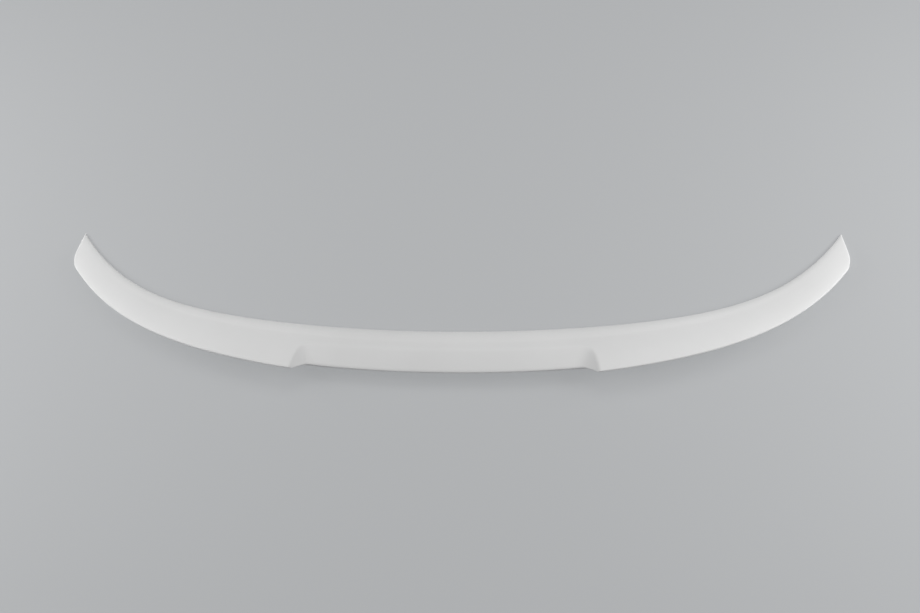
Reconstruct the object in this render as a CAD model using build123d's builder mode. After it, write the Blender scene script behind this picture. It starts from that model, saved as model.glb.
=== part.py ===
# Boot-lid lip spoiler: one moulded shell with raised wings, a recessed centre and an open underside.
# Frame: X to the right across the car, Y towards the front of the car, Z up. Sizes in millimetres.
import os
from math import atan, atan2, cos, radians, sin, sqrt, tan
from build123d import *

# Plan of the leading edge, each half: it runs forward by bow * r^2 + wrap * r^wrap_power, r = x / half_span
half_span = 604.0
bow = 76.7
wrap = 93.7
wrap_power = 7
# Arch of the base across the boot lid, and how far the frame's origin lies ahead of the leading edge's middle
crown = 12.0
origin_ahead = 49.2

# Section of the lip, square to the leading edge, at the centre and at the tips
chord_centre = 89.2
chord_tip = 37.8
lip_height_centre = 38.0
lip_height_tip = 12.0
base_depth_centre = 53.0
base_depth_tip = 27.0
nose_thickness = 3.0
nose_slope = 50.0
lip_slope = 11.0
lip_radius = 2.5

# The upper surface swells behind the nose, eases off at a dip, then climbs to the lip in a second curve.
# Places are shares of the chord, levels are shares of the rise, and the pulls are the curves' handles.
dip_share = 0.25
dip_level = 0.32
dip_slope = 15.0
nose_pull = 0.14
dip_pull = 0.065
climb_pull = 0.045
lip_pull = 0.36

# Recessed centre: an almost flat floor between two sloping step faces
recess_half_width = 213.6
recess_setback = 33.0
recess_floor_height = 32.4
recess_floor_fall = 4.0
step_slope = 0.61
step_sweep = 0.08
step_blend_radius = 28.0

# Upright ledge along the undercut rear face: in the recess it is the blunt rear edge of the floor
ledge_depth_centre = 70.5
ledge_depth_tip = 33.0
ledge_level_tip = 5.5
ledge_half_height_tip = 0.5
ledge_above_floor = 2.5
recess_edge_thickness = 2.2

# Outer ends in plan: a raked edge and a round corner
end_rake = 8.3
end_corner_radius = 55.0
end_corner_overshoot = 0.8

# Hollow underside: shell wall, bonding land in front, turned-in flange behind, solid ends
wall = 3.0
ceiling_depth = 1.1 * wall
ceiling_front_level = 0.20
ceiling_back_level = 0.84
land_width_centre = 10.0
land_width_tip = 6.0
flange_width_centre = 12.5
flange_width_tip = 5.5
flange_thickness = 3.0
solid_end_width = 42.0

# Where the sections stand, as shares of the half span
hollow_end = 1 - solid_end_width / half_span
stations = [0.0, 0.15, 0.3, 0.44, 0.57, 0.68, 0.77, 0.85, hollow_end]
end_stations = [0.975, 1.015, 1.06]


def both_sides(shares):
    return [-r for r in shares[:0:-1]] + shares


def taper(centre, tip, r, power):
    return centre + (tip - centre) * abs(r) ** power


def section_plane(r):
    # Upright plane square to the leading edge: its x runs back along the chord, its y is up
    side = -1 if r < 0 else 1
    r = abs(r)
    forward = bow * r ** 2 + wrap * r ** wrap_power - origin_ahead
    angle = atan((2 * bow * r + wrap_power * wrap * r ** (wrap_power - 1)) / half_span)
    return Plane(
        origin=(side * half_span * r, forward, crown * (1 - r ** 2)),
        x_dir=(side * sin(angle), -cos(angle), 0),
        z_dir=(-cos(angle), -side * sin(angle), 0),
    )


def chord_at(r):
    return taper(chord_centre, chord_tip, r, 2)


def lip_height_at(r):
    return taper(lip_height_centre, lip_height_tip, r, 3)


def base_depth_at(r):
    return taper(base_depth_centre, base_depth_tip, r, 3)


def top_point(r, share, level, depth=0.0):
    # Point at a share of the chord and of the rise, or this deep below it: the tips rise in one round curve
    level = taper(level, 1 - (1 - share) ** 2, r, 3)
    return chord_at(r) * share, nose_thickness + (lip_height_at(r) - nose_thickness) * level - depth


def handle(point, r, pull, slope):
    # Handle of a curve from this point, along this slope
    length = pull * chord_at(r)
    return point[0] + length * cos(slope), point[1] + length * sin(slope)


def lip_centre(r):
    return chord_at(r) - lip_radius, lip_height_at(r) - lip_radius


def recess_floor(back):
    # Height of the recess floor this far behind the leading edge's middle
    return recess_floor_height - tan(radians(recess_floor_fall)) * (back - recess_setback)


def ledge_at(r):
    # How far back the ledge stands, and the heights of its upper and lower edge above the base
    level = taper(recess_floor(ledge_depth_centre) - crown, ledge_level_tip, r, 3)
    above = taper(ledge_above_floor, ledge_half_height_tip, r, 3)
    below = taper(recess_edge_thickness, ledge_half_height_tip, r, 3)
    return taper(ledge_depth_centre, ledge_depth_tip, r, 3), level + above, level - below


# Outer form, lofted from tip to tip and a little past the ends
with BuildPart() as outer:
    for r in both_sides(stations + end_stations):
        nose_end = radians(nose_slope)
        nose_radius = nose_thickness / cos(nose_end)
        nose_top = (nose_radius * (1 - sin(nose_end)), nose_thickness)
        half_slope = (radians(90) - nose_end) / 2
        nose_middle = (nose_radius * (1 - cos(half_slope)), nose_radius * sin(half_slope))
        back, height = lip_centre(r)
        top_end = radians(lip_slope)
        outward = (radians(90) + top_end) / 2
        ledge, ledge_top, ledge_foot = ledge_at(r)
        lip_top = (back - lip_radius * sin(top_end), height + lip_radius * cos(top_end))
        lip_middle = (back + lip_radius * cos(outward), height + lip_radius * sin(outward))
        dip = top_point(r, dip_share, dip_level)
        with BuildSketch(section_plane(r)):
            with BuildLine():
                Line((base_depth_at(r), 0), (0, 0))
                ThreePointArc((0, 0), nose_middle, nose_top)
                Bezier(
                    nose_top,
                    handle(nose_top, r, nose_pull, nose_end),
                    handle(dip, r, -dip_pull, radians(dip_slope)),
                    dip,
                )
                Bezier(
                    dip,
                    handle(dip, r, climb_pull, radians(dip_slope)),
                    handle(lip_top, r, -lip_pull, top_end),
                    lip_top,
                )
                ThreePointArc(lip_top, lip_middle, (back + lip_radius, height))
                Polyline(
                    (back + lip_radius, height),
                    (ledge, ledge_top),
                    (ledge, ledge_foot),
                    (base_depth_at(r), 0),
                )
            make_face()
    loft()


def recess_corners(back, below):
    # Corners of the recess this far behind the leading edge's middle, or this deep below its faces
    floor = recess_floor(back) - below
    inward = (step_sweep + tan(radians(recess_floor_fall))) / step_slope
    foot = recess_half_width - inward * (back - recess_setback)
    foot += below * (sqrt(1 + step_slope ** 2 + step_sweep ** 2) - 1) / step_slope
    ceiling = crown + 2 * lip_height_centre
    top = foot + (ceiling - floor) / step_slope
    return (-foot, floor), (foot, floor), (top, ceiling), (-top, ceiling)


recess_reach = (-bow, 2 * chord_centre)

# What the recess takes off the outer form, with soft feet on its step faces
with BuildPart() as recess:
    for back in recess_reach:
        with BuildSketch(Plane.XZ.offset(back + origin_ahead)):
            with BuildLine():
                Polyline(*recess_corners(back, 0), close=True)
            make_face()
    loft(ruled=True)
    floor_face = recess.faces().sort_by(Axis.Z)[0]
    fillet(floor_face.edges().filter_by(Axis.X, reverse=True), step_blend_radius)

# The same recess one wall deeper, which keeps the hollow clear of it
with BuildPart() as recess_inside:
    for back in recess_reach:
        with BuildSketch(Plane.XZ.offset(back + origin_ahead)):
            with BuildLine():
                Polyline(*recess_corners(back, wall), close=True)
            make_face()
    loft(ruled=True)


def lip_in_plan(r):
    point = section_plane(r).from_local_coords((chord_at(r), 0, 0))
    return Vector(point.X, point.Y)


# The raked end edge runs back from the tip: halving finds where it meets the lip
rake = Vector(sin(radians(end_rake)), -cos(radians(end_rake)))
tip = Vector(section_plane(1).origin.X, section_plane(1).origin.Y)
within, beyond = 0.5, 1.0
for halving in range(40):
    r = (within + beyond) / 2
    if rake.cross(lip_in_plan(r) - tip).Z > 0:
        beyond = r
    else:
        within = r
end_corner = lip_in_plan(within)
end_turn = rake.get_angle(lip_in_plan(within - 0.01) - end_corner)
corner_length = end_corner_radius * tan(radians(end_turn / 2)) - end_corner_overshoot

# What is cut off beyond each end: all that lies past the raked edge and its round corner
with BuildPart() as ends:
    with BuildSketch(Plane.XY.offset(-crown)):
        with BuildLine():
            start = tip - rake * chord_centre
            edge = Line(start, end_corner - rake * corner_length)
            corner = JernArc(edge @ 1, rake, end_corner_radius, -end_turn)
            far = 1.3 * half_span
            Polyline(corner @ 1, (far, (corner @ 1).Y), (far, start.Y + wrap), start)
        make_face()
    extrude(amount=2 * crown + 2 * lip_height_centre)
    mirror(about=Plane.YZ)

# Hollow of the shell, open below between the bonding land and the turned-in flange
with BuildPart() as hollow:
    for r in both_sides(stations):
        land = taper(land_width_centre, land_width_tip, r, 2)
        flange = base_depth_at(r) - taper(flange_width_centre, flange_width_tip, r, 2)
        ledge, ledge_top, ledge_foot = ledge_at(r)
        rear = atan2(ledge_foot, ledge - base_depth_at(r))
        inside = ledge - wall / sin(rear)
        foot = base_depth_at(r) - wall / sin(rear) + flange_thickness / tan(rear)
        front = (land, top_point(r, land / chord_at(r), ceiling_front_level, ceiling_depth)[1])
        apex = (inside, top_point(r, inside / chord_at(r), ceiling_back_level, ceiling_depth)[1])
        with BuildSketch(section_plane(r)):
            with BuildLine():
                Polyline(
                    front,
                    top_point(r, dip_share, dip_level, ceiling_depth),
                    apex,
                    (inside, ledge_foot),
                    (foot, flange_thickness),
                    (flange, flange_thickness),
                    (flange, -wall),
                    (land, -wall),
                    close=True,
                )
            make_face()
    loft()
    add(recess_inside.part, mode=Mode.SUBTRACT)

with BuildPart() as lip_spoiler:
    add(outer.part)
    add(ends.part, mode=Mode.SUBTRACT)
    add(hollow.part, mode=Mode.SUBTRACT)
    add(recess.part, mode=Mode.SUBTRACT)

os.makedirs("parts", exist_ok=True)
lip_spoiler.part.label = "lip_spoiler"
export_step(lip_spoiler.part, "parts/lip_spoiler.step")
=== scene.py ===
import math
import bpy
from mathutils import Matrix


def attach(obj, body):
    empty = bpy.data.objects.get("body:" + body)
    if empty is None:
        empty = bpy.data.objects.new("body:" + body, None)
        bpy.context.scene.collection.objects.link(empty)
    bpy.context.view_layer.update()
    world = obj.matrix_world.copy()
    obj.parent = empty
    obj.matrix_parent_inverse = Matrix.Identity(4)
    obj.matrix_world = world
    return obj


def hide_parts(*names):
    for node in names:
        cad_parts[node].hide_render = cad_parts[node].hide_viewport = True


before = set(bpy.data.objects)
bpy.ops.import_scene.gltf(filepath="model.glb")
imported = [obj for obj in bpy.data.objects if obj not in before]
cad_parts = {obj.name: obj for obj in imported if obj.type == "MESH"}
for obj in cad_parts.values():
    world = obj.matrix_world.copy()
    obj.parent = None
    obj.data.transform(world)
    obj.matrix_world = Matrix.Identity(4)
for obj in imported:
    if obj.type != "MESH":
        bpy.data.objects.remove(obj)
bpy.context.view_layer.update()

from types import SimpleNamespace
import bmesh
import bpy
from mathutils import Matrix, Vector

scene = bpy.context.scene
print("stage: frame loaded")

# Sizes of the lip spoiler's skin in millimetres. Slopes, shares and powers have no unit.
lipSizes = {
    # Leading edge in plan, arch of the base, and how far the origin lies ahead of the edge's middle
    "halfSpan": 604.0,
    "bow": 76.7,
    "wrap": 93.7,
    "wrapPower": 7.0,
    "crown": 12.0,
    "originAhead": 49.2,
    # Section square to the leading edge, at the centre and at the tips
    "chordCentre": 89.2,
    "chordTip": 37.8,
    "lipHeightCentre": 38.0,
    "lipHeightTip": 12.0,
    "baseDepthCentre": 53.0,
    "baseDepthTip": 27.0,
    "noseThickness": 3.0,
    "noseRun": 1.6,
    "lipSetIn": 2.2,
    "lipRound": 2.5,
    "lipDrop": 2.4,
    # Recessed centre and its step faces
    "recessHalfWidth": 217.6,
    "recessSetback": 33.0,
    "recessFloorHeight": 32.4,
    "recessFloorFall": 0.022,
    "recessFloorRound": 0.0013,  # per millimetre
    "recessEdgeRound": 4.6,
    "recessEdgeDrop": 2.1,
    "stepSlope": 0.88,
    "stepSweep": 0.083,
    "stepBow": 0.0032,  # per millimetre
    "stepFootBlend": 19.0,
    "creaseBlend": 3.2,
    # Upright ledge along the undercut rear face, with the least heights of it and of the face above it
    "ledgeDepthCentre": 70.5,
    "ledgeDepthTip": 33.0,
    "ledgeLevelCentre": 17.78,
    "ledgeLevelTip": 5.5,
    "ledgeAbove": 2.5,
    "ledgeBelow": 2.2,
    "ledgeHalfTip": 0.5,
    "ledgeLeast": 0.4,
    "rearUpperLeast": 0.6,
    # Outer ends: rake and round corner in plan, and the roll of the upper edge
    "endRake": 0.0387,
    "endCornerRound": 0.0147,
    "endCornerPower": 10.0,
    "endRoll": 2.6,
    "endRollReach": 7.0,
    # Open underside: wall, bonding land, turned-in flange, and a hollow that narrows, then closes
    "wall": 3.2,
    "landCentre": 10.0,
    "landTip": 6.0,
    "flangeCentre": 12.5,
    "flangeTip": 5.5,
    "flangeThickness": 3.0,
    "solidEnd": 42.0,
    "hollowNarrow": 16.0,
    "hollowClose": 6.0,
    # Points of the grid that are closer than this become one
    "weldDistance": 0.03,
}
millimetre = 0.001  # in Blender's metres
edgePasses = 4  # rounds of finding where the upper surface meets the rear face
hardEdgeAngle = 32.0  # degrees

# Upper surface: shares of the chord, and the share of the height that it has reached there.
# At the centre it eases off behind the nose before it climbs to the lip, at the tips it climbs in one go.
lipRise = [
    (0.012, 0.0), (0.041, 0.076), (0.071, 0.139), (0.133, 0.229), (0.195, 0.282),
    (0.253, 0.317), (0.31, 0.373), (0.38, 0.459), (0.52, 0.62), (0.75, 0.84), (1.0, 1.0),
]
tipRise = [
    (0.0, 0.0), (0.1, 0.203), (0.2, 0.353), (0.35, 0.525),
    (0.5, 0.67), (0.75, 0.88), (0.9, 0.972), (1.0, 1.0),
]

# Stretches of each half from the middle out: columns, and how far out in millimetres each ends
lipColumns = {
    "floor": (26, 184.0),
    "step": (58, 242.0),
    "wing": (84, lipSizes["halfSpan"] - lipSizes["endRoll"]),
    "roll": (7, lipSizes["halfSpan"]),
}

# Legs of the section's outline from the nose round to the nose: rows, and where each ends as a share of
# the chord, by which the end edge is raked
lipLegs = {
    "nose": (7, 0.042),
    "top": (84, 0.934),
    "lip": (9, 1.0),
    "rearUpper": (4, 0.873),
    "rearLedge": (2, 0.873),
    "rearLower": (6, 0.714),
    "flangeUnder": (3, 0.569),
    "flangeEdge": (2, 0.501),
    "flangeTop": (2, 0.432),
    "innerLower": (3, 0.364),
    "innerBack": (2, 0.296),
    "innerTop": (16, 0.227),
    "innerFront": (3, 0.159),
    "land": (3, 0.0),
}
hollowLegs = ("flangeEdge", "flangeTop", "innerLower", "innerBack", "innerTop", "innerFront")


class Field:
    # A number that varies over the mesh: sums and products of fields become Math nodes
    def __init__(self, tree, socket):
        self.tree = tree
        self.socket = socket

    def fedTo(self, node, *others):
        # What the node gives for this field and the other values, in the order of its inputs
        for slot, value in zip(node.inputs, (self,) + others):
            if isinstance(value, Field):
                self.tree.links.new(value.socket, slot)
            else:
                slot.default_value = value
        return Field(self.tree, node.outputs[0])

    def made(self, operation, *others):
        node = self.tree.nodes.new("ShaderNodeMath")
        node.operation = operation
        return self.fedTo(node, *others)

    def __add__(self, other):
        return self.made("ADD", other)

    def __sub__(self, other):
        return self.made("SUBTRACT", other)

    def __mul__(self, other):
        return self.made("MULTIPLY", other)

    def __truediv__(self, other):
        return self.made("DIVIDE", other)

    def __pow__(self, other):
        return self.made("POWER", other)

    def atMost(self, other):
        return self.made("MINIMUM", other)

    def atLeast(self, other):
        return self.made("MAXIMUM", other)

    def rest(self):
        # One minus this field
        return (self * -1.0) + 1.0

    def span(self, low, high):
        # 0 below low, 1 above high, straight between
        return self.fedTo(self.tree.nodes.new("ShaderNodeMapRange"), low, high)


def taper(centre, tip, share):
    return centre + (tip - centre) * share


def stretches(field, parts):
    # For each stretch of rows or columns: 0 before it, 1 after it, straight along it
    total = sum(count for count, end in parts.values())
    done = 0
    steps = {}
    for name, (count, end) in parts.items():
        steps[name] = field.span(done / total, (done + count) / total)
        done += count
    return steps


def reached(steps, parts):
    # Where a row or column gets to, when each stretch runs on to its own end
    place = None
    before = 0.0
    for name, (count, end) in parts.items():
        part = steps[name] * (end - before)
        place = part if place is None else place + part
        before = end
    return place


class LipSection:
    # The section square to the leading edge, at each share of the half span
    def __init__(self, tree, size, spanShare):
        square = spanShare ** 2.0
        cube = spanShare ** 3.0
        self.tree = tree
        self.size = size
        self.square = square

        # Leading edge in plan, and the direction of the section
        slope = size.bow * spanShare * 2.0
        slope = slope + size.wrap * size.wrapPower * spanShare ** (size.wrapPower - 1.0)
        slope = slope / size.halfSpan
        self.out = spanShare * size.halfSpan
        self.forward = size.bow * square + size.wrap * spanShare ** size.wrapPower
        self.backward = (slope * slope + 1.0) ** -0.5
        self.sideways = slope * self.backward

        # Sizes that change from the centre to the tips
        self.base = size.crown * square.rest()
        self.chord = taper(size.chordCentre, size.chordTip, square)
        self.height = taper(size.lipHeightCentre, size.lipHeightTip, cube)
        self.lipFoot = self.height - size.lipRound
        self.depth = taper(size.baseDepthCentre, size.baseDepthTip, cube)
        self.ledge = taper(size.ledgeDepthCentre, size.ledgeDepthTip, cube)
        ledgeLevel = taper(size.ledgeLevelCentre, size.ledgeLevelTip, cube)
        self.ledgeTop = ledgeLevel + taper(size.ledgeAbove, size.ledgeHalfTip, cube)
        self.ledgeFoot = ledgeLevel - taper(size.ledgeBelow, size.ledgeHalfTip, cube)
        self.land = taper(size.landCentre, size.landTip, square)
        self.flange = self.depth - taper(size.flangeCentre, size.flangeTip, square)

    def riseAt(self, chordShare, rise):
        # Share of the height at this share of the chord
        node = self.tree.nodes.new("ShaderNodeFloatCurve")
        curve = node.mapping.curves[0]
        curve.points[0].location = rise[0]
        curve.points[1].location = rise[-1]
        for knot in rise[1:-1]:
            curve.points.new(*knot)
        for point in curve.points:
            point.handle_type = "AUTO"
        node.mapping.update()
        self.tree.links.new(chordShare.socket, node.inputs["Value"])
        return Field(self.tree, node.outputs["Value"])

    def topAt(self, run):
        # Upper surface this far behind the leading edge, with the recess cut into it
        size = self.size
        chordShare = run / (self.chord - size.lipSetIn)
        rise = taper(self.riseAt(chordShare, lipRise), self.riseAt(chordShare, tipRise), self.square)
        wing = size.noseThickness + (self.height - size.noseThickness) * rise
        back = run * self.backward - self.forward - size.recessSetback
        aside = self.out + run * self.sideways - size.recessHalfWidth
        bottom = size.recessFloorHeight - self.base
        floor = bottom - back * size.recessFloorFall - back * back * size.recessFloorRound
        stepFace = bottom + aside * size.stepSlope + back * size.stepSweep
        stepFace = stepFace + back * (size.chordCentre - size.recessSetback - back) * size.stepBow
        cut = floor.made("SMOOTH_MAX", stepFace, size.stepFootBlend)
        return wing.made("SMOOTH_MIN", cut, size.creaseBlend)

    def rearAt(self, level):
        # How far back the undercut rear face stands at this height
        lower = level.span(0.0, self.ledgeFoot)
        upper = level.span(self.ledgeTop, self.lipFoot)
        return self.depth + (self.ledge - self.depth) * lower + (self.chord - self.ledge) * upper


def upperOutline(section, step):
    # Nose, upper surface and rounded rear edge: run to the rear, level, and where the rear face starts
    size = section.size
    topAt = section.topAt

    # The lip or the recess edge is where the upper surface meets the rear face
    edgeLevel = topAt(section.chord)
    for turn in range(edgePasses):
        edgeRun = section.rearAt(edgeLevel)
        edgeLevel = topAt(edgeRun)
    wingShare = edgeLevel.span(section.ledgeTop, section.height)
    topEnd = edgeRun - taper(size.recessEdgeRound, size.lipRound, wingShare)
    topEndLevel = topAt(topEnd)
    rearTop = edgeLevel - taper(size.recessEdgeDrop, size.lipDrop, wingShare)

    # Nose: a round from the base up to the upper surface, whose slope there is taken over one millimetre
    along = step["nose"]
    noseTop = topAt(size.noseRun)
    noseSlope = topAt(size.noseRun + 1.0) - noseTop
    noseBend = noseTop - size.noseRun * noseSlope
    run = size.noseRun * along ** 2.0
    level = noseBend * along * along.rest() * 2.0 + noseTop * along ** 2.0

    # Upper surface
    topRun = size.noseRun + (topEnd - size.noseRun) * step["top"]
    run = run + topRun - size.noseRun
    level = level + topAt(topRun) - noseTop

    # Round of the lip or of the recess edge
    along = step["lip"]
    bend = along * along.rest() * 2.0
    run = run + bend * (edgeRun - topEnd) + along ** 2.0 * (section.rearAt(rearTop) - topEnd)
    level = level + bend * (edgeLevel - topEndLevel) + along ** 2.0 * (rearTop - topEndLevel)
    return run, level, rearTop


def addRearFace(section, step, run, level, rearTop):
    # Undercut rear face with its upright ledge, down to the base
    size = section.size
    ledgeStart = section.ledgeTop.atMost(rearTop - size.rearUpperLeast)
    ledgeEnd = section.ledgeFoot.atMost(ledgeStart - size.ledgeLeast)
    for name, top, foot in (("rearUpper", rearTop, ledgeStart), ("rearLedge", ledgeStart, ledgeEnd)):
        run = run + (section.rearAt(foot) - section.rearAt(top)) * step[name]
        level = level + (foot - top) * step[name]
    run = run + (section.depth - section.rearAt(ledgeEnd)) * step["rearLower"]
    level = level - ledgeEnd * step["rearLower"]
    return run, level


def addUnderside(section, step, run, level):
    # Flange, hollow and bonding land, forward to the nose again
    size = section.size
    land, flange, depth, ledge = section.land, section.flange, section.depth, section.ledge
    run = run + (flange - depth) * step["flangeUnder"]

    # The hollow keeps one wall inside the rear face and under the upper surface
    rearSlope = (ledge - depth) / section.ledgeFoot
    setIn = size.wall * (rearSlope * rearSlope + 1.0) ** 0.5
    inside = ledge - setIn
    foot = depth - setIn + size.flangeThickness * rearSlope
    ceiling = section.topAt(inside) - size.wall
    frontCeiling = section.topAt(land) - size.wall
    innerFoot = section.ledgeFoot.atMost(ceiling)
    innerRun = inside + (land - inside) * step["innerTop"]
    hollowRun = (foot - flange) * step["flangeTop"] + (inside - foot) * step["innerLower"]
    hollowRun = hollowRun + innerRun - inside
    hollowLevel = size.flangeThickness * step["flangeEdge"]
    hollowLevel = hollowLevel + (innerFoot - size.flangeThickness) * step["innerLower"]
    hollowLevel = hollowLevel + (ceiling - innerFoot) * step["innerBack"]
    hollowLevel = hollowLevel + section.topAt(innerRun) - size.wall - ceiling
    hollowLevel = hollowLevel - frontCeiling * step["innerFront"]

    # Towards the ends it narrows to a plain vault, then closes down to the base
    straight = step[hollowLegs[0]]
    for name in hollowLegs[1:]:
        straight = straight + step[name]
    straight = (land - flange) * straight / float(len(hollowLegs))
    closed = size.halfSpan - size.solidEnd
    narrowed = closed - size.hollowClose
    narrowShare = section.out.span(narrowed - size.hollowNarrow, narrowed)
    run = run + hollowRun + (straight - hollowRun) * narrowShare
    hollowLevel = hollowLevel.atMost((section.topAt(run) - size.wall).atLeast(0.0))
    level = level + hollowLevel * section.out.span(narrowed, closed).rest()
    run = run - land * step["land"]
    return run, level


def lipSkinTree(material):
    tree = bpy.data.node_groups.new("lipSkinTree", "GeometryNodeTree")
    tree.interface.new_socket("Geometry", in_out="OUTPUT", socket_type="NodeSocketGeometry")
    identifiers = {}
    for name in lipSizes:
        socket = tree.interface.new_socket(name, in_out="INPUT", socket_type="NodeSocketFloat")
        identifiers[name] = socket.identifier
    source = tree.nodes.new("NodeGroupInput")
    size = SimpleNamespace(**{name: Field(tree, source.outputs[name]) for name in lipSizes})

    # One flat grid: its columns run along the span and its rows round the section
    grid = tree.nodes.new("GeometryNodeMeshGrid")
    grid.inputs["Size X"].default_value = 2.0
    grid.inputs["Size Y"].default_value = 1.0
    grid.inputs["Vertices X"].default_value = 2 * sum(count for count, end in lipColumns.values()) + 1
    grid.inputs["Vertices Y"].default_value = sum(count for count, end in lipLegs.values()) + 1
    place = tree.nodes.new("GeometryNodeInputPosition")
    split = tree.nodes.new("ShaderNodeSeparateXYZ")
    tree.links.new(place.outputs[0], split.inputs[0])
    across = Field(tree, split.outputs["X"])
    around = (Field(tree, split.outputs["Y"]) * -1.0) + 0.5

    # The end edge is raked in plan, with a round rear corner
    step = stretches(around, lipLegs)
    legShare = {**step, "nose": step["nose"] ** 2.0}  # the nose starts upright
    chordShare = reached(legShare, lipLegs)
    corner = chordShare ** size.endCornerPower
    endShare = (chordShare * size.endRake + corner * size.endCornerRound).rest()
    columnStep = stretches(across.made("ABSOLUTE"), lipColumns)
    section = LipSection(tree, size, reached(columnStep, lipColumns) / size.halfSpan * endShare)

    run, level, rearTop = upperOutline(section, step)
    run, level = addRearFace(section, step, run, level, rearTop)
    run, level = addUnderside(section, step, run, level)

    # The upper edge rolls over into the upright end
    rolled = columnStep["roll"]
    drop = ((rolled * rolled).rest().atLeast(0.0) ** 0.5).rest() * size.endRoll
    level = level - drop * level.span(0.0, size.endRollReach)

    parts = (
        (section.out + run * section.sideways) * across.made("SIGN"),
        section.forward - size.originAhead - run * section.backward,
        section.base + level,
    )
    join = tree.nodes.new("ShaderNodeCombineXYZ")
    for slot, part in zip(join.inputs, parts):
        tree.links.new((part * millimetre).socket, slot)

    def nextNode(kind, geometry):
        node = tree.nodes.new(kind)
        tree.links.new(geometry, node.inputs["Geometry"])
        return node

    shaped = nextNode("GeometryNodeSetPosition", grid.outputs["Mesh"])
    tree.links.new(join.outputs[0], shaped.inputs["Position"])
    welded = nextNode("GeometryNodeMergeByDistance", shaped.outputs[0])
    tree.links.new((size.weldDistance * millimetre).socket, welded.inputs["Distance"])
    whole = nextNode("GeometryNodeRealizeInstances", welded.outputs[0])
    painted = nextNode("GeometryNodeSetMaterial", whole.outputs[0])
    painted.inputs["Material"].default_value = material
    nextNode("NodeGroupOutput", painted.outputs[0])
    return tree, identifiers


# Bare white moulding: scale and detail of each noise, strength and depth in metres of each bump
shellFinish = {
    "darkTone": (0.737, 0.737, 0.733),
    "lightTone": (0.763, 0.763, 0.760),
    "mottleNoise": (9.0, 6.0),
    "sheenNoise": (45.0, 4.0),
    "noiseRange": (0.3, 0.7),
    "roughness": (0.58, 0.70),
    "waveNoise": (22.0, 1.0),
    "waveBump": (0.25, 0.0006),
    "grainNoise": (1100.0, 2.0),
    "grainBump": (0.12, 0.00015),
}


def whiteShell():
    material = bpy.data.materials.new("whiteShell")
    material.use_nodes = True
    tree = material.node_tree
    surface = tree.nodes["Principled BSDF"]
    place = tree.nodes.new("ShaderNodeTexCoord")
    low, high = shellFinish["noiseRange"]

    def noise(name):
        node = tree.nodes.new("ShaderNodeTexNoise")
        scale, detail = shellFinish[name]
        node.inputs["Scale"].default_value = scale
        node.inputs["Detail"].default_value = detail
        tree.links.new(place.outputs["Object"], node.inputs["Vector"])
        return node.outputs["Fac"]

    def bump(name, height):
        node = tree.nodes.new("ShaderNodeBump")
        strength, depth = shellFinish[name]
        node.inputs["Strength"].default_value = strength
        node.inputs["Distance"].default_value = depth
        tree.links.new(height, node.inputs["Height"])
        return node

    # Slow mottling of the white, with a hint of finer cloud in it
    tone = tree.nodes.new("ShaderNodeValToRGB")
    tones = ((low, shellFinish["darkTone"]), (high, shellFinish["lightTone"]))
    for element, (position, colour) in zip(tone.color_ramp.elements, tones):
        element.position = position
        element.color = (*colour, 1.0)
    tree.links.new(noise("mottleNoise"), tone.inputs["Fac"])
    tree.links.new(tone.outputs["Color"], surface.inputs["Base Color"])

    # Satin sheen that is a little uneven
    sheen = tree.nodes.new("ShaderNodeMapRange")
    sheen.inputs["From Min"].default_value = low
    sheen.inputs["From Max"].default_value = high
    sheen.inputs["To Min"].default_value = shellFinish["roughness"][0]
    sheen.inputs["To Max"].default_value = shellFinish["roughness"][1]
    tree.links.new(noise("sheenNoise"), sheen.inputs["Value"])
    tree.links.new(sheen.outputs["Result"], surface.inputs["Roughness"])

    # Fine skin of the moulding over a very shallow waviness
    wave = bump("waveBump", noise("waveNoise"))
    grain = bump("grainBump", noise("grainNoise"))
    tree.links.new(wave.outputs["Normal"], grain.inputs["Normal"])
    tree.links.new(grain.outputs["Normal"], surface.inputs["Normal"])
    return material


def lipSpoilerPiece():
    tree, identifiers = lipSkinTree(whiteShell())
    holder = bpy.data.objects.new("lipSkinHolder", bpy.data.meshes.new("lipSkinHolder"))
    scene.collection.objects.link(holder)
    modifier = holder.modifiers.new("lipSkin", "NODES")
    modifier.node_group = tree
    for name, value in lipSizes.items():
        modifier[identifiers[name]] = value
    depsgraph = bpy.context.evaluated_depsgraph_get()
    mesh = bpy.data.meshes.new_from_object(holder.evaluated_get(depsgraph), depsgraph=depsgraph)
    bpy.data.objects.remove(holder)

    # Close the two upright ends and keep the hard edges hard
    work = bmesh.new()
    work.from_mesh(mesh)
    rim = [edge for edge in work.edges if edge.is_boundary]
    caps = bmesh.ops.holes_fill(work, edges=rim, sides=0)["faces"]
    bmesh.ops.triangulate(work, faces=caps)
    for face in work.faces:
        face.smooth = True
    for edge in work.edges:
        edge.smooth = edge.calc_face_angle(0.0) < math.radians(hardEdgeAngle)
    print("lip spoiler open edges:", sum(1 for edge in work.edges if not edge.is_manifold))
    work.to_mesh(mesh)
    work.free()
    mesh.name = "lipSpoiler"
    piece = bpy.data.objects.new("lipSpoiler", mesh)
    scene.collection.objects.link(piece)
    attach(piece, "root")
    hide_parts("lip_spoiler")
    return piece


lipSpoiler = lipSpoilerPiece()
print("stage: lip spoiler built,", len(lipSpoiler.data.polygons), "faces")

# Floor, backdrop and sky, in metres
stageSettings = {
    "floorColour": (0.71, 0.72, 0.73),
    "floorSize": 24.0,
    "floorDrop": 0.0005,  # keeps it clear of the base
    "floorRoughness": 0.9,
    "floorSpecular": 0.1,
    "backdropColour": (0.41, 0.42, 0.43),
    "backdropShare": 0.76,  # how much of it shows in the floor
    "farBackdrop": 0.785,  # its strength beyond the floor
    "skyColour": (0.90, 0.92, 0.95),
    "skyStrength": 0.07,
}

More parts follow.
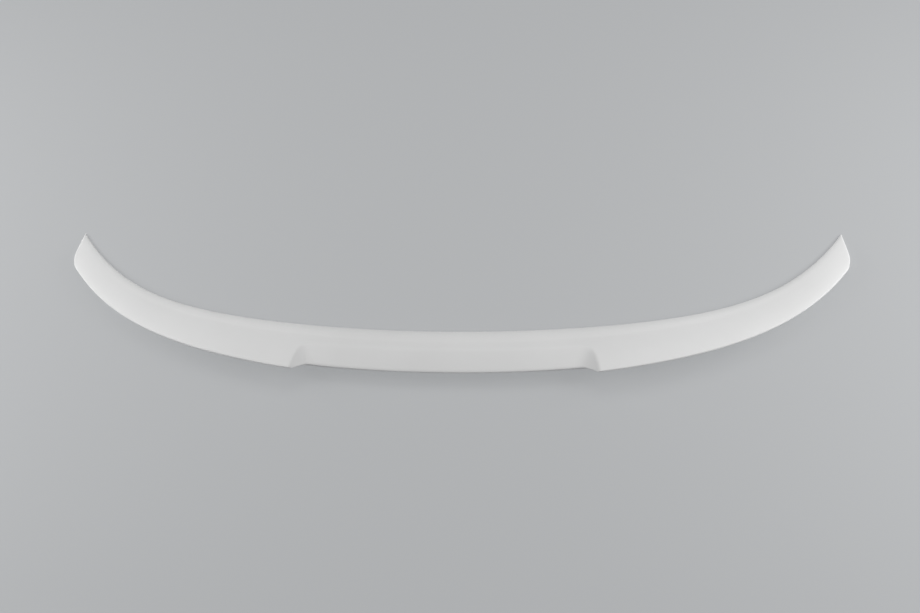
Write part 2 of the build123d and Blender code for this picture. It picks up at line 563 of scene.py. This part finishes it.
# Soft lamps: place, aim, width and depth in metres, and power in watts
lampSettings = {
    "frontLamp": ((0.0, 1.0, 2.0), (0.0, 0.0, 0.0), (1.6, 0.8), 10.3),
    "rightLamp": ((1.25, 0.25, 0.75), (0.45, 0.0, 0.0), (0.6, 0.9), 7.1),
    "leftLamp": ((-1.25, 0.25, 0.75), (-0.45, 0.0, 0.0), (0.6, 0.9), 5.9),
    "rightBackLamp": ((1.3, -0.25, 0.8), (0.45, 0.0, 0.0), (0.6, 0.6), 6.4),
    "leftBackLamp": ((-1.3, -0.25, 0.8), (-0.45, 0.0, 0.0), (0.6, 0.6), 6.0),
}


def seenRay(tree):
    # 1 for what the camera, a reflection or a clear material sees, 0 for light that falls on the part
    path = tree.nodes.new("ShaderNodeLightPath")
    seen = path.outputs["Is Camera Ray"]
    for name in ("Is Glossy Ray", "Is Transmission Ray"):
        either = tree.nodes.new("ShaderNodeMath")
        either.operation = "MAXIMUM"
        tree.links.new(seen, either.inputs[0])
        tree.links.new(path.outputs[name], either.inputs[1])
        seen = either.outputs[0]
    return seen


def mixBackdrop(tree, share, plain, backdrop, output):
    # Shows this share of the backdrop in place of the plain shader
    mix = tree.nodes.new("ShaderNodeMixShader")
    tree.links.new(share, mix.inputs["Fac"])
    tree.links.new(plain.outputs[0], mix.inputs[1])
    tree.links.new(backdrop.outputs[0], mix.inputs[2])
    tree.links.new(mix.outputs["Shader"], tree.nodes[output].inputs["Surface"])


def paleFloor():
    mesh = bpy.data.meshes.new("paleFloor")
    half = stageSettings["floorSize"] / 2
    corners = [(-half, -half, 0.0), (half, -half, 0.0), (half, half, 0.0), (-half, half, 0.0)]
    mesh.from_pydata(corners, [], [(0, 1, 2, 3)])
    floor = bpy.data.objects.new("paleFloor", mesh)
    scene.collection.objects.link(floor)
    floor.location.z = -stageSettings["floorDrop"]
    material = bpy.data.materials.new("paleFloorPaint")
    material.use_nodes = True
    tree = material.node_tree
    surface = tree.nodes["Principled BSDF"]
    surface.inputs["Base Color"].default_value = (*stageSettings["floorColour"], 1.0)
    surface.inputs["Roughness"].default_value = stageSettings["floorRoughness"]
    surface.inputs["Specular IOR Level"].default_value = stageSettings["floorSpecular"]

    # The even pale backdrop shows through the floor, which keeps the shadow
    backdrop = tree.nodes.new("ShaderNodeEmission")
    backdrop.inputs["Color"].default_value = (*stageSettings["backdropColour"], 1.0)
    share = tree.nodes.new("ShaderNodeMath")
    share.operation = "MULTIPLY"
    share.inputs[1].default_value = stageSettings["backdropShare"]
    tree.links.new(seenRay(tree), share.inputs[0])
    mixBackdrop(tree, share.outputs[0], surface, backdrop, "Material Output")
    mesh.materials.append(material)


def paleSky():
    world = bpy.data.worlds.new("paleSky")
    scene.world = world
    world.use_nodes = True
    tree = world.node_tree
    sky = tree.nodes["Background"]
    sky.inputs["Color"].default_value = (*stageSettings["skyColour"], 1.0)
    sky.inputs["Strength"].default_value = stageSettings["skyStrength"]
    backdrop = tree.nodes.new("ShaderNodeBackground")
    backdrop.inputs["Color"].default_value = (*stageSettings["backdropColour"], 1.0)
    backdrop.inputs["Strength"].default_value = stageSettings["farBackdrop"]
    mixBackdrop(tree, seenRay(tree), sky, backdrop, "World Output")


def softLamp(name, place, aim, size, power):
    lamp = bpy.data.lights.new(name, "AREA")
    lamp.shape = "RECTANGLE"
    lamp.size, lamp.size_y = size
    lamp.energy = power
    holder = bpy.data.objects.new(name, lamp)
    holder.location = place
    holder.rotation_euler = (Vector(aim) - Vector(place)).to_track_quat("-Z", "Y").to_euler()
    scene.collection.objects.link(holder)


paleFloor()
paleSky()
for lampName, settings in lampSettings.items():
    softLamp(lampName, *settings)
print("stage: floor and lamps set")

# Angles in degrees, distance and target in metres, lens and sensor in millimetres
cameraSettings = {
    "azimuth": 12.72,
    "elevation": 68.0,
    "roll": -11.42,
    "distance": 1.5,
    "target": (0.01955, -0.0088, 0.015),
    "lens": 38.33,
    "sensorWidth": 36.0,
}


def photoCamera():
    azimuth = math.radians(cameraSettings["azimuth"])
    elevation = math.radians(cameraSettings["elevation"])
    roll = math.radians(cameraSettings["roll"])
    back = Vector((
        math.sin(azimuth) * math.cos(elevation),
        -math.cos(azimuth) * math.cos(elevation),
        math.sin(elevation),
    ))
    right = (-back).cross(Vector((0.0, 0.0, 1.0))).normalized()
    up = right.cross(-back)
    turnedRight = right * math.cos(roll) + up * math.sin(roll)
    turnedUp = up * math.cos(roll) - right * math.sin(roll)
    turn = Matrix((turnedRight, turnedUp, back)).transposed().to_4x4()
    place = Vector(cameraSettings["target"]) + back * cameraSettings["distance"]
    data = bpy.data.cameras.new("photoCamera")
    data.sensor_fit = "HORIZONTAL"
    data.sensor_width = cameraSettings["sensorWidth"]
    data.lens = cameraSettings["lens"]
    camera = bpy.data.objects.new("photoCamera", data)
    camera.matrix_world = Matrix.Translation(place) @ turn
    scene.collection.objects.link(camera)
    scene.camera = camera


photoCamera()
scene.view_settings.view_transform = "Standard"
print("stage: camera set")
